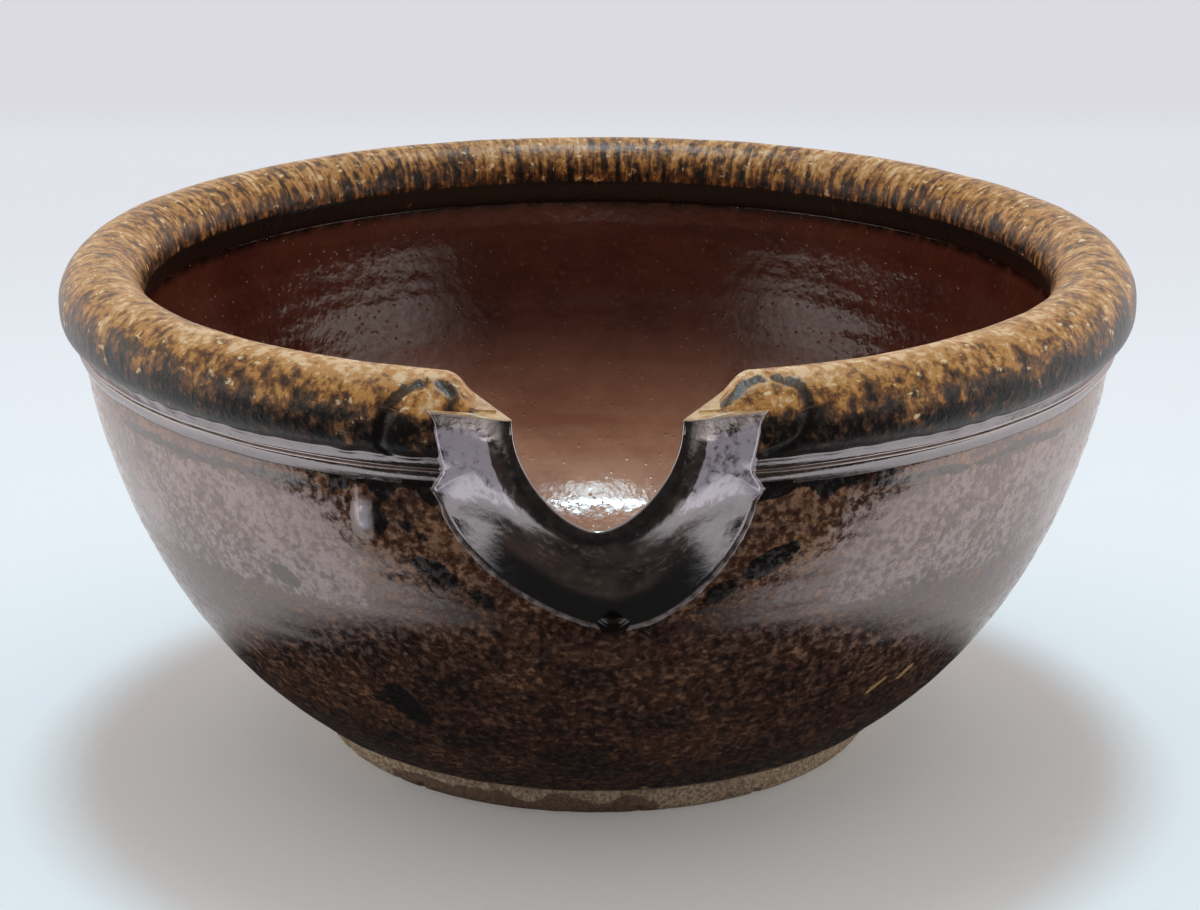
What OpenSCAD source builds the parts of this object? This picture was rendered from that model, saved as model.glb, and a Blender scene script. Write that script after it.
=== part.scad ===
// Katakuchi: a wheel-thrown stoneware pouring bowl with a rolled rim,
// a luted-on trough spout, a turned foot ring and a coat of iron glaze.
// The wheel axis is Z, the table is z = 0 and the spout points along -Y.

/* [Bowl] */
// Height of the clay, from the table to the top of the rolled rim
bowl_h = 59.6; // [52:0.1:72]
// Outer diameter of the clay across the rolled rim
rim_d = 127; // [110:0.5:150]
// Thickness of the thrown wall
wall_t = 5; // [3.5:0.1:6.5]
// Height of the inside floor above the table
floor_z = 7.6; // [6.6:0.1:9]
// Angle at which the wall leaves the foot, in degrees above level
belly_angle = 31; // [24:0.5:38]
// Length of the wall curve's pull at the foot
belly_pull = 20.9; // [16:0.1:25]
// Angle at which the wall meets the rim, in degrees above level
shoulder_angle = 83.5; // [78:0.5:90]
// Length of the wall curve's pull at the rim
shoulder_pull = 11.1; // [8:0.1:14]

/* [Rolled rim] */
// Diameter of the roll
roll_d = 9; // [7:0.1:11]
// How far the roll stands out past the wall below it
roll_overhang = 2.8; // [2:0.1:4]
// Height of the rim band, from the fold's lower edge to the top of the roll
rim_band_h = 11.2; // [10:0.1:13.5]
// How far the fold's lower edge stands proud of the wall
fold_proud = 0.9; // [0.6:0.1:1.4]
// Radius of the cove between the roll and the fold's lower edge
cove_r = 1.6; // [1:0.1:2]
// How far the cove bites into the fold
cove_bite = 0.5; // [0.2:0.05:0.8]

/* [Foot] */
// Outer diameter of the foot ring where it stands on the table
foot_d = 67.6; // [58:0.2:74]
// Height of the foot ring
foot_h = 3.8; // [3:0.1:5]
// Width of the foot ring's standing face
foot_w = 5.6; // [4:0.1:8]
// How much wider the foot ring is at its top
foot_flare = 0.6; // [0:0.1:1.2]
// Bevel on the two lower edges of the foot ring
foot_bevel = 0.5; // [0.2:0.1:0.9]
// Depth of the turned recess inside the foot ring
recess_depth = 3; // [2:0.1:3.6]

/* [Spout] */
// How far the lip reaches past the roll
spout_reach = 4.5; // [3:0.1:8]
// How far the top of the spout lies below the top of the rim
spout_drop = 2.3; // [1.5:0.1:4]
// Half the width of the spout's outside at the lip
lip_half_w = 10.7; // [9.5:0.1:12]
// Thickness of the lip at its lowest point
lip_t = 2; // [1.6:0.1:3]
// Depth of the spout's outside below the spout's top, at the lip
lip_depth = 12; // [10:0.1:14]
// How far the lip's top lies behind its bottom
lip_lean = 3; // [0:0.1:5]
// How far behind the wall's upper edge the outline of the spout's root is laid
root_inset = 3.2; // [2:0.1:5]
// Half the width of the spout's outside where it meets the wall
root_half_w = 16.8; // [15:0.1:19]
// How much wider the spout's sides are at their top, where they meet the ears
root_flare = 2; // [0:0.1:3]
// Depth of the keel's foot below the spout's top, on the wall
keel_depth = 23.8; // [21:0.1:27]
// How square the root's outline is: 1 is a sharp V, 2 is round
root_roundness = 1.6; // [1.3:0.05:2]
// How far inside the wall the channel has its full width and depth
channel_inset = 3; // [1:0.1:5]
// Half the width of the channel where it leaves the bowl
channel_half_w = 14.2; // [12:0.1:15]
// Half the width of the channel at the lip
channel_half_lip = 7.6; // [6:0.1:8.6]
// Depth of the channel below the spout's top, where it leaves the bowl
channel_depth = 17; // [14:0.1:18.5]
// Half the width of the gap that is cut in the rim, just above the spout's top
cut_half_w = 12.6; // [12:0.1:14]
// Height of the gap's floor above the spout's top
cut_lift = 0.2; // [0.1:0.05:0.5]
// Slope of the rim's cut ends above the spout, in mm outwards for each mm up
cut_flare = 0.8; // [0.4:0.05:1.2]
// Angle from the spout's middle to the crease where its ears meet the roll
ear_angle = 19; // [17:0.5:24]

/* [Luting and glaze] */
// Width of the strip of slip that lutes the spout to the wall
lute_w = 1.1; // [0.8:0.1:1.6]
// Thickness of the luting strip
lute_t = 0.8; // [0.6:0.1:1.2]
// Thickness of the glaze
glaze_t = 0.5; // [0.3:0.05:0.8]
// Height of the glaze's lower edge above the foot ring's top
glaze_line = 0.5; // [0.2:0.1:2]
// How far the glaze stops short of the spout's lip
lip_bare = 1; // [0.6:0.1:2]
// Radius of the bead of glaze that hangs below the keel
bead_r = 1.9; // [1.4:0.1:2.4]
// How far the bead's centre lies above the tip of the luting strip
bead_rise = 1; // [0.4:0.1:1.4]

/* [Hidden] */

$fn = 96;
// Counts of straight pieces along the wall, the floor, a trough's section, its length and its keel
curve_steps = 12;
floor_steps = 5;
section_steps = 16;
spout_stations = 4;
keel_steps = 60;
// How far a cutting form runs past what it cuts
over = 4;

clay = [0.42, 0.35, 0.28];
dark_clay = [0.23, 0.15, 0.11];
tenmoku = [0.26, 0.16, 0.10];
amber = [0.60, 0.40, 0.18];
liner_brown = [0.25, 0.12, 0.09];

roll_r = roll_d / 2;
roll_c = [rim_d / 2 - roll_r, bowl_h - roll_r];
wall_top = [rim_d / 2 - roll_overhang, bowl_h - rim_band_h];
foot_top = [foot_d / 2 + foot_flare, foot_h];
foot_in_r = foot_d / 2 - foot_w;
inner_top_r = wall_top[0] - wall_t;
fold_r = wall_top[0] + fold_proud;
// Height at which the roll bulges past the inner face of the band that carries it
roll_foot_z = roll_c[1] - sqrt(roll_r ^ 2 - (roll_c[0] - inner_top_r) ^ 2);

// The spout is described by its reach from the wheel axis
spout_top = bowl_h - spout_drop;
lip_q = rim_d / 2 + spout_reach;
root_q = wall_top[0] - root_inset;
start_q = inner_top_r - 2 * over;
lip_round_z = spout_top - lip_depth + lip_half_w;
root_round_z = wall_top[1] + fold_proud;
channel_q = inner_top_r - channel_inset;
channel_lip_z = spout_top - lip_depth + lip_t;
cut_z = spout_top + cut_lift;
channel_round_z = spout_top - channel_depth + channel_half_w;

// Points and curves

function mix(a, b, s) = a + (b - a) * s;
function from_angle(a) = [cos(a), sin(a)];
function unit(v) = v / norm(v);
// Quadratic and cubic curves through their end points, and the cubic's outward normal, which turns level
// at the top so that every coat of the wall ends at the same height
function bend(p, t) = p[0] * (1 - t) ^ 2 + p[1] * 2 * t * (1 - t) + p[2] * t ^ 2;
function curve(p, t) =
    p[0] * (1 - t) ^ 3 + p[1] * 3 * t * (1 - t) ^ 2 + p[2] * 3 * t ^ 2 * (1 - t) + p[3] * t ^ 3;
function slope(p, t) =
    (p[1] - p[0]) * 3 * (1 - t) ^ 2 + (p[2] - p[1]) * 6 * t * (1 - t) + (p[3] - p[2]) * 3 * t ^ 2;
function outward(p, t) = let (d = unit(slope(p, t))) unit(mix([d[1], -d[0]], [1, 0], t ^ 12));
// A curve shifted along its normal, from one parameter to another
function shifted(p, by, t0, t1, n) =
    [for (i = [0 : n]) let (t = mix(t0, t1, i / n)) curve(p, t) + by * outward(p, t)];

wall_curve = [foot_top,
              foot_top + belly_pull * from_angle(belly_angle),
              wall_top - shoulder_pull * from_angle(shoulder_angle),
              wall_top];

// The inside follows the outside at the wall's thickness and rounds into a level floor
floor_join_t = 0.16;
floor_join = curve(wall_curve, floor_join_t) - wall_t * outward(wall_curve, floor_join_t);
floor_join_d = unit(slope(wall_curve, floor_join_t));
floor_corner = [floor_join[0] - (floor_join[1] - floor_z) * floor_join_d[0] / floor_join_d[1], floor_z];
function inside_curve(by) =
    concat([for (i = [0 : floor_steps - 1]) bend([[0, floor_z], floor_corner, floor_join], i / floor_steps)
               + by * floor_lift(i / floor_steps)],
           shifted(wall_curve, by - wall_t, floor_join_t, 1, curve_steps));
// Direction out of the clay into the bowl, reversed, along the floor's curve
function floor_lift(t) =
    let (d = unit((floor_corner - [0, floor_z]) * (1 - t) + (floor_join - floor_corner) * t)) [d[1], -d[0]];
function reversed(list) = [for (i = [len(list) - 1 : -1 : 0]) list[i]];
// Outer radius of the clay wall at a height
wall_table = [for (p = shifted(wall_curve, 0, 0, 1, curve_steps)) [p[1], p[0]]];
function wall_r(z) = lookup(z, wall_table);
// Reach of the keel at a height, and the height at which the keel, grown downwards, meets the wall
keel_root_z = spout_top - keel_depth;
keel_lip_z = spout_top - lip_depth;
function keel_q(z) = mix(root_q, lip_q, (z - keel_root_z) / (keel_lip_z - keel_root_z));
function keel_foot(grow) =
    lookup(0, [for (i = [0 : keel_steps])
                  let (z = mix(keel_lip_z, foot_h, i / keel_steps)) [wall_r(z) - keel_q(z + grow), z]]);

// Profiles, in radius and height

// The thrown wall and floor
module body_profile() {
    polygon(concat([[0, recess_depth], [foot_in_r, recess_depth], [foot_in_r, foot_h]],
                   shifted(wall_curve, 0, 0, 1, curve_steps),
                   reversed(inside_curve(0))));
}

// Everything inside the outer face of the wall, grown by a coat
module wall_profile(grow) {
    polygon(concat([[0, foot_h - grow]],
                   shifted(wall_curve, grow, 0, 1, curve_steps),
                   [[0, wall_top[1]]]));
}

// The roll and the folded band below it, grown by a coat on the outside
module rim_profile(grow) {
    translate(roll_c) circle(r = roll_r + grow);
    difference() {
        translate([inner_top_r, wall_top[1]])
            square([fold_r + grow - inner_top_r, roll_c[1] - wall_top[1]]);
        translate([fold_r + cove_r - cove_bite, wall_top[1] + cove_r + fold_proud])
            circle(r = cove_r - grow);
    }
}

// The glaze over the roll and the fold, down to the liner's edge on the inside
module rim_coat_profile() {
    difference() {
        rim_profile(glaze_t);
        rim_profile(0);
        square([roll_c[0], roll_foot_z]);
    }
}

// Everything inside the outer face of the wall and the rim, each grown by its own coat
module outer_profile(wall_grow, rim_grow) {
    wall_profile(wall_grow);
    rim_profile(rim_grow);
    translate([0, wall_top[1] - over]) square([roll_c[0], cut_z + over - wall_top[1]]);
}

module turn() {
    rotate_extrude() children();
}

// The same profile, left open over an angle to each side of the spout
module turn_open(half_angle) {
    rotate([0, 0, half_angle - 90]) rotate_extrude(angle = 360 - 2 * half_angle) children();
}

// The spout's forms

// Half outline of a trough, from its right top edge round the keel to its left top edge
function trough_section(half_w, round_z, depth, roundness, top_w, top_z) =
    concat([[top_w, top_z]],
           [for (i = [0 : section_steps])
               let (a = 180 * i / section_steps, c = cos(a), s = sin(a))
               [half_w * sign(c) * abs(c) ^ (2 / roundness), round_z - depth * s ^ (2 / roundness)]],
           [[-top_w, top_z]]);

// A solid through a list of closed sections that all have the same count of points
module loft(rings) {
    n = len(rings[0]);
    last = len(rings) - 1;
    polyhedron(
        points = [for (ring = rings) each ring],
        faces = concat(
            [[for (i = [n : -1 : 1]) i % n]],
            [for (k = [0 : last - 1], i = [0 : n - 1], half = [0, 1])
                let (j = (i + 1) % n, a = k * n + i, b = k * n + j)
                half == 0 ? [a, b, a + n] : [b, b + n, a + n]],
            [[for (i = [0 : n - 1]) last * n + i]]));
}

// Lays a trough section at a reach from the axis, leaning back towards its top
function stand(section, q, lean) =
    let (low = min([for (p = section) p[1]]))
    [for (p = section) [p[0], -(q - lean * (p[1] - low)), p[1]]];

// The spout's outside, from inside the wall to the lip, grown all round and with its lip and top moved
module spout_form(grow, lip_shift, top_shift) {
    lean = lip_lean / lip_depth;
    last = (lip_q + lip_shift - root_q) / (lip_q - root_q);
    first = (start_q - top_shift / 2 - root_q) / (lip_q - root_q);
    loft([for (k = [0 : spout_stations])
        let (s = mix(first, last, k / spout_stations),
             half_w = mix(root_half_w, lip_half_w, s) + grow,
             round_z = mix(root_round_z, lip_round_z, s),
             depth = round_z - mix(keel_root_z, keel_lip_z, s) + grow,
             roundness = mix(root_roundness, 2, max(0, min(1, s))))
        stand(trough_section(half_w, round_z, depth, roundness, half_w + root_flare * max(0, 1 - s),
                             spout_top + top_shift),
              mix(root_q, lip_q, s), lean * max(0, s))]);
}

// The channel that liquid runs through, from inside the bowl to past the lip
module channel_form(grow) {
    top = bowl_h + over;
    last = (lip_q + over - channel_q) / (lip_q - channel_q);
    first = (start_q - over - channel_q) / (lip_q - channel_q);
    loft([for (k = [0 : spout_stations])
        let (s = mix(first, last, k / spout_stations),
             half_w = mix(channel_half_w, channel_half_lip, s) + grow,
             round_z = mix(channel_round_z, lip_round_z, s),
             depth = round_z - mix(spout_top - channel_depth, channel_lip_z, s) + grow,
             cut_w = max(cut_half_w, half_w + cut_lift),
             flare_w = cut_flare * (top - cut_z))
        stand(concat([[0, top + over], [cut_w + flare_w, top], [cut_w, cut_z]],
                     trough_section(half_w, round_z, depth, 2, half_w, cut_z),
                     [[-cut_w, cut_z], [-cut_w - flare_w, top]]),
              mix(channel_q, lip_q, s), 0)]);
}

// The pieces

// Thrown wall and floor, cut open for the spout
module bowl_body() {
    color(clay) difference() {
        turn() body_profile();
        channel_form(0);
    }
}

// Turned ring that the bowl stands on, of bare clay
module foot_ring() {
    color(clay) turn() polygon([
        [foot_in_r, foot_bevel],
        [foot_in_r + foot_bevel, 0],
        [foot_d / 2 - foot_bevel, 0],
        [foot_d / 2, foot_bevel],
        foot_top,
        [foot_in_r, foot_h]]);
}

// Rim rolled outwards and down, with the lower edge of its fold
module rim_roll() {
    color(dark_clay) turn_open(ear_angle) rim_profile(0);
}

// Ear of the spout's clay that closes one cut end of the roll
module spout_ear(side) {
    color(dark_clay) difference() {
        mirror([side < 0 ? 1 : 0, 0, 0])
            rotate([0, 0, -90]) rotate_extrude(angle = ear_angle) rim_profile(0);
        channel_form(0);
    }
}

// Trough of the spout, seated on the wall, the fold and the ears
module spout_trough() {
    color(dark_clay) difference() {
        spout_form(0, 0, 0);
        channel_form(0);
        turn() outer_profile(0, 0);
    }
}

// Strip of slip pressed along the joint between the spout and the wall
module luting_strip() {
    color(dark_clay) difference() {
        intersection() {
            spout_form(lute_w, 0, 0);
            turn() wall_profile(lute_t);
        }
        spout_form(0, over, over);
        turn() wall_profile(0);
    }
}

// Glaze on the outside of the wall, stopping above the foot ring
module outer_glaze() {
    color(tenmoku) difference() {
        turn() difference() {
            wall_profile(glaze_t);
            wall_profile(0);
            square([foot_d, foot_h + glaze_line]);
        }
        spout_form(lute_w, over, over);
    }
}

// Glaze inside the bowl, up to the underside of the roll
module liner_glaze() {
    color(liner_brown) difference() {
        turn() polygon(concat(inside_curve(0),
                              [[inner_top_r, roll_foot_z], [inner_top_r - glaze_t, roll_foot_z]],
                              reversed(inside_curve(-glaze_t))));
        channel_form(0);
    }
}

// Glaze over the roll, the fold and the ears
module rim_glaze() {
    color(amber) {
        turn_open(ear_angle) rim_coat_profile();
        difference() {
            rotate([0, 0, -90 - ear_angle]) rotate_extrude(angle = 2 * ear_angle) rim_coat_profile();
            channel_form(0);
            spout_form(glaze_t, over, 2 * cut_lift);
        }
    }
}

// Glaze on the outside of the spout
module spout_glaze() {
    color(tenmoku) difference() {
        spout_form(glaze_t, -lip_bare, 0);
        spout_form(0, over, over);
        turn() outer_profile(lute_t, glaze_t);
    }
}

// Glaze in the channel, from the liner to just behind the lip
module channel_glaze() {
    color(liner_brown) difference() {
        intersection() {
            channel_form(0);
            spout_form(0, -lip_bare, 0);
        }
        channel_form(-glaze_t);
        turn() polygon(concat(inside_curve(0), [[inner_top_r, bowl_h], [0, bowl_h]]));
    }
}

// Bead of glaze gathered below the foot of the keel
module glaze_bead() {
    bead_z = keel_foot(lute_w) + bead_rise;
    color(tenmoku) difference() {
        translate([0, -wall_r(bead_z) - glaze_t, bead_z]) sphere(r = bead_r);
        turn() wall_profile(glaze_t);
        spout_form(lute_w, 0, 0);
    }
}

bowl_body();
foot_ring();
rim_roll();
spout_trough();
spout_ear(-1);  // spout_ear_left
spout_ear(1);  // spout_ear_right
luting_strip();
outer_glaze();
liner_glaze();
rim_glaze();
spout_glaze();
channel_glaze();
glaze_bead();
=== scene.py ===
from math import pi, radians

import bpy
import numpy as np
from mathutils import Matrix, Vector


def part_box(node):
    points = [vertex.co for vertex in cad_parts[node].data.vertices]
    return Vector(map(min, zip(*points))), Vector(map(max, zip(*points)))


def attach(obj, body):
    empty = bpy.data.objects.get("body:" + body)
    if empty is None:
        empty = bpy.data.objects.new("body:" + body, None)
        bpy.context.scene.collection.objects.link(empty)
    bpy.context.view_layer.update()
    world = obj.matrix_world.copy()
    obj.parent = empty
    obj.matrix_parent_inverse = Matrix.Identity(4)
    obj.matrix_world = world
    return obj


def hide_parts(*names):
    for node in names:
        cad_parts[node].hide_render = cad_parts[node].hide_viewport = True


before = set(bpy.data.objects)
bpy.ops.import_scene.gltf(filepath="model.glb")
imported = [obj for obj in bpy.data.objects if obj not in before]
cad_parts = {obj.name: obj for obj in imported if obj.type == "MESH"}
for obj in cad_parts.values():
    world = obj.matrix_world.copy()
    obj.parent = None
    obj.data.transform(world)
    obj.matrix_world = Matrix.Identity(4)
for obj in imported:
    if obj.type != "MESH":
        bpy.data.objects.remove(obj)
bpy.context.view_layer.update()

# Katakuchi: a wheel-thrown pouring bowl in mottled iron glaze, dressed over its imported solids.
# Shapes are worked out in millimetres, with the wheel axis along Z, the table at z = 0 and the
# spout along -Y, and are scaled to metres when a mesh is made. An angle round the wheel axis is
# counted from the spout towards +X, and a reach is a distance from the axis along -Y.

MM = 0.001
TURN = 2.0 * pi


def corners(node):
    """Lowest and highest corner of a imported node, in mm."""
    low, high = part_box(node)
    return np.array(low) / MM, np.array(high) / MM


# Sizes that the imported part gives

RIM_HIGH, ROLL_HIGH = corners("rim_glaze")[1], corners("rim_roll")[1]
WALL_LOW, WALL_HIGH = corners("outer_glaze")
FOOT_HIGH = corners("foot_ring")[1]
LINER_LOW, LINER_HIGH = corners("liner_glaze")
BODY_LOW, BODY_HIGH = corners("bowl_body")
SPOUT_LOW, SPOUT_HIGH = corners("spout_trough")
BEAD_TOP = corners("glaze_bead")[1][2]

COAT = RIM_HIGH[2] - ROLL_HIGH[2]
RIM_R, RIM_TOP = RIM_HIGH[0], RIM_HIGH[2]
WALL_R, WALL_EDGE, FOLD_Z = BODY_HIGH[0], WALL_LOW[2], WALL_HIGH[2]
FOOT_R, FOOT_H, RECESS_Z = FOOT_HIGH[0], FOOT_HIGH[2], BODY_LOW[2]
FLOOR_Z, LINER_R, LINER_Z = LINER_LOW[2], LINER_HIGH[0], LINER_HIGH[2]
LIP_Q, SPOUT_Z = -SPOUT_LOW[1], SPOUT_HIGH[2]
WALL_T = WALL_R - LINER_R

# Sizes of the forms between those corners, as in the part's source

BELLY_ANGLE, BELLY_PULL = radians(31.0), 20.9
SHOULDER_ANGLE, SHOULDER_PULL = radians(83.5), 11.1
FLOOR_JOIN = 0.16
ROLL_R = 5.0
ROLL_AT = np.array([RIM_R - ROLL_R, RIM_TOP - ROLL_R])
FOOT_W = 5.6

ROOT_Q, ROOT_HALF_W, ROOT_FLARE, ROOT_ROUNDNESS = WALL_R - 3.2, 16.8, 2.0, 1.6
ROOT_ROUND_Z, ROOT_LOW_Z = FOLD_Z + 0.9, SPOUT_Z - 23.8
LIP_HALF_W, LIP_LOW_Z = 10.7, SPOUT_Z - 12.0
LIP_ROUND_Z, LIP_LEAN = LIP_LOW_Z + LIP_HALF_W, 0.25
CHANNEL_Q, CHANNEL_HALF_W, CHANNEL_HALF_LIP = LINER_R - 3.0, 14.2, 7.6
CHANNEL_LOW_Z, CHANNEL_LIP_Z = SPOUT_Z - 17.0, LIP_LOW_Z + 2.0
CHANNEL_DIP, CHANNEL_ROUNDNESS = 0.45, 1.7
CUT_HALF_W, CUT_FLARE = 12.6, 0.8

# Forms that only the glazed surface has: the share of the wall's curve at which the thicker glaze
# over the floor joins it, the keel's drift, the lip's rounding and slimming, the flanks' flare,
# and how far inside the channel's start the channel's coat turns into the liner

GLAZE_JOIN = 0.30
KEEL_SKEW, LIP_BEND, LIP_SLIM = 1.7, 1.3, 1.5
FLANK_FLARE, FLARE_FROM = 6.0, FOLD_Z - 3.0
MOUTH_Q = CHANNEL_Q + 1.6


# Small helpers on whole arrays


def mix(a, b, s):
    """Straight blend from a to b."""
    return a + (b - a) * s


def ease(low, high, x):
    """0 at low and before it, 1 at high and past it, and a smooth S between them."""
    t = np.clip((x - low) / (high - low), 0.0, 1.0)
    return t * t * (3.0 - 2.0 * t)


def shares(count):
    """Even steps from 0 to 1."""
    return np.linspace(0.0, 1.0, count)


def bell(x, width):
    """1 where x is 0, falling off smoothly on both sides over a width."""
    return np.exp(-(x / width) ** 2)


def arc(a, b, c, t):
    """Quadratic curve from a to c, pulled towards b."""
    return a * (1 - t) ** 2 + b * 2 * t * (1 - t) + c * t ** 2


def unit(v):
    """Vectors along the last axis, scaled to length 1."""
    return v / np.linalg.norm(v, axis=-1, keepdims=True)


def soft_max(a, b, k):
    """The larger of a and b, with the corner between them filled over a width k."""
    h = np.maximum(k - np.abs(a - b), 0.0) / k
    return np.maximum(a, b) + h * h * k / 4.0


def unevenness(seed, angle, waves, height=0.0, tall=50.0):
    """A sum of sine waves that close round the wheel axis and drift with height, about -1 to 1.

    waves gives the lowest and highest count of waves in a turn, and tall the length of a wave
    along the height, in mm.
    """
    draw = np.random.default_rng(seed)
    total = np.zeros(np.broadcast(angle, height).shape)
    for _ in range(9):
        count = draw.integers(waves[0], waves[1] + 1)
        rise = draw.normal() * TURN / tall
        total = total + np.sin(count * angle + rise * height + draw.uniform(0.0, TURN))
    return total / 4.5


def spot(angle, height, at, size, turn=0.0):
    """A soft oval spot on the wall: at is its angle in degrees and its height, size its half axes
    in mm, and turn tilts it. It is 1 in the middle and fades to 0 at the edge."""
    across = (angle - radians(at[0])) * WALL_R
    up = height - at[1]
    c, s = np.cos(radians(turn)), np.sin(radians(turn))
    d = np.hypot((across * c + up * s) / size[0], (up * c - across * s) / size[1])
    return 1.0 - ease(0.6, 1.15, d)


def around(angle, r, z):
    """Points at an angle round the wheel axis, a radius and a height."""
    return np.stack(np.broadcast_arrays(r * np.sin(angle), -r * np.cos(angle), z), axis=-1)


def lengths(path):
    """Length along a path of points up to each of them."""
    return np.concatenate([[0.0], np.cumsum(np.linalg.norm(np.diff(path, axis=0), axis=1))])


def even_steps(path, count):
    """A path of points, sampled again at count points with equal lengths between them."""
    length = lengths(path)
    at = np.linspace(0.0, length[-1], count)
    return np.stack([np.interp(at, length, path[:, k]) for k in range(path.shape[1])], axis=-1)


def smoothed(path, passes):
    """Rows of values, each drawn towards its neighbours in every pass, with both ends held."""
    path = path.copy()
    for _ in range(passes):
        path[1:-1] = 0.25 * path[:-2] + 0.5 * path[1:-1] + 0.25 * path[2:]
    return path


# Profiles, in radius and height


def wall_line(t, grow):
    """The wall's outside: a cubic curve from the foot to the fold, moved along its normal.

    The normal turns level at the top, so that every coat of the wall ends at one height.
    """
    t = np.asarray(t, dtype=float)[..., None]
    p0 = np.array([FOOT_R, FOOT_H])
    p3 = np.array([WALL_R, FOLD_Z])
    p1 = p0 + BELLY_PULL * np.array([np.cos(BELLY_ANGLE), np.sin(BELLY_ANGLE)])
    p2 = p3 - SHOULDER_PULL * np.array([np.cos(SHOULDER_ANGLE), np.sin(SHOULDER_ANGLE)])
    place = p0 * (1 - t) ** 3 + p1 * 3 * t * (1 - t) ** 2 + p2 * 3 * t ** 2 * (1 - t) + p3 * t ** 3
    run = unit(arc(p1 - p0, p2 - p1, p3 - p2, t))
    normal = np.stack([run[..., 1], -run[..., 0]], axis=-1)
    normal = unit(mix(normal, np.array([1.0, 0.0]), t ** 12))
    return place + np.asarray(grow)[..., None] * normal


WALL_LINE = wall_line(shares(600), COAT)


def wall_radius(z):
    """Radius of the glazed wall at a height, read from the wall's curve."""
    return np.interp(z, WALL_LINE[:, 1], WALL_LINE[:, 0])


def inside_line(grow, count, joins=FLOOR_JOIN):
    """The inside: a quadratic curve over the floor, then the wall's curve at the wall's thickness.

    grow moves it into the bowl. It runs from the axis to the upper edge, in equal steps.
    """
    join = wall_line(joins, -WALL_T)
    run = unit(wall_line(joins + 1e-3, -WALL_T) - join)
    corner = np.array([join[0] - (join[1] - FLOOR_Z) * run[0] / run[1], FLOOR_Z])
    start = np.array([0.0, FLOOR_Z])
    t = shares(80)[:-1, None]
    slope = unit((corner - start) * (1 - t) + (join - corner) * t)
    floor = arc(start, corner, join, t) + grow * np.stack([-slope[:, 1], slope[:, 0]], axis=-1)
    wall = wall_line(np.linspace(joins, 1.0, 200), -WALL_T - grow)
    neck = np.array([[LINER_R - grow, LINER_Z]])
    return even_steps(np.concatenate([floor, wall, neck]), count)


# The rim below the roll: height above the fold's edge and radius beyond the wall's glaze
FOLD_FACE = np.array([[3.2, 1.07], [2.9, 0.87], [2.5, 0.67], [2.15, 0.54], [1.98, 0.52],
                      [1.82, 0.80], [1.62, 0.87], [1.3, 0.79], [0.8, 0.54], [0.35, 0.24],
                      [0.05, 0.02]])
FOLD_TOP = 3.0
# Where the oval below the roll ends, in radians, and the power that flattens it
ROLL_END, ROLL_POWER = 1.0, 0.667


def rim_line():
    """The rim's outside, from the liner's edge over the roll, down the cove and round the fold.

    It is a circle over the top of the roll, a flattened oval below its widest place, and a face
    that slants in below in two steps, with a fine thrown line between them.
    """
    a = np.linspace(pi + np.arcsin((ROLL_AT[1] - LINER_Z) / ROLL_R), 0.0, 200)
    crown = ROLL_AT + ROLL_R * np.stack([np.cos(a), np.sin(a)], axis=-1)
    a = np.linspace(0.0, ROLL_END, 120)
    drop = ROLL_AT[1] - FOLD_Z - FOLD_TOP
    oval = np.stack([ROLL_R * np.cos(a) ** ROLL_POWER, -drop * np.sin(a) ** ROLL_POWER], axis=-1)
    face = np.stack([WALL_R + COAT + FOLD_FACE[:, 1], FOLD_Z + FOLD_FACE[:, 0]], axis=-1)
    lower = smoothed(even_steps(np.concatenate([ROLL_AT + oval, face]), 240), 6)
    return np.concatenate([even_steps(crown, 52), even_steps(lower, 61)[1:]])


RIM_LINE = rim_line()
RIM_FRONT = RIM_LINE[np.argmax(RIM_LINE[:, 0]):]
RIM_FRONT = RIM_FRONT[np.argsort(RIM_FRONT[:, 1])]


def front_radius(z):
    """Outermost radius of the glazed wall, fold, cove and roll at a height."""
    rim = np.interp(z, RIM_FRONT[:, 1], RIM_FRONT[:, 0], left=0.0)
    crown = ROLL_AT[0] + np.sqrt(np.maximum(ROLL_R ** 2 - (z - ROLL_AT[1]) ** 2, 0.0))
    rim = np.where(z > ROLL_AT[1], crown, rim)
    return np.maximum(rim, np.where(z <= FOLD_Z, wall_radius(z), 0.0))


def at_reach(x, q, z):
    """Points across, at a reach and up."""
    return np.stack([x, -q, z], axis=-1)


def front_reach(x, z):
    """Reach of the glazed wall and rim in front of a point across and up."""
    return np.sqrt(np.maximum(front_radius(z) ** 2 - x * x, 0.0))


# The spout's forms, by their share s of the way from the root to the lip


def u_outline(n_side, n_arc):
    """The stations of a trough's outline, from the left top edge round the keel to the right one.

    Gives the share of the straight side below the top (1 at the top, 0 where the round begins)
    and the angle round the keel, from pi on the left to 0 on the right.
    """
    rise = shares(n_side + 1)
    side = np.concatenate([np.linspace(1.0, 0.0, n_side + 1), np.zeros(n_arc - 1), rise])
    keel = np.linspace(pi, 0.0, n_arc + 1)[1:-1]
    return side, np.concatenate([np.full(n_side + 1, pi), keel, np.zeros(n_side + 1)])


def trough(side, angle, half_w, round_z, low_z, roundness, top_flare=0.0):
    """Points of a trough's section: a super-ellipse below, and sides that flare towards the top."""
    c, s = np.cos(angle), np.sin(angle)
    power = 2.0 / roundness
    across = np.sign(c) * np.abs(c) ** power
    x = across * (half_w + top_flare * side * side)
    return x, round_z - (round_z - low_z) * s ** power + side * (SPOUT_Z - round_z)


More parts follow.
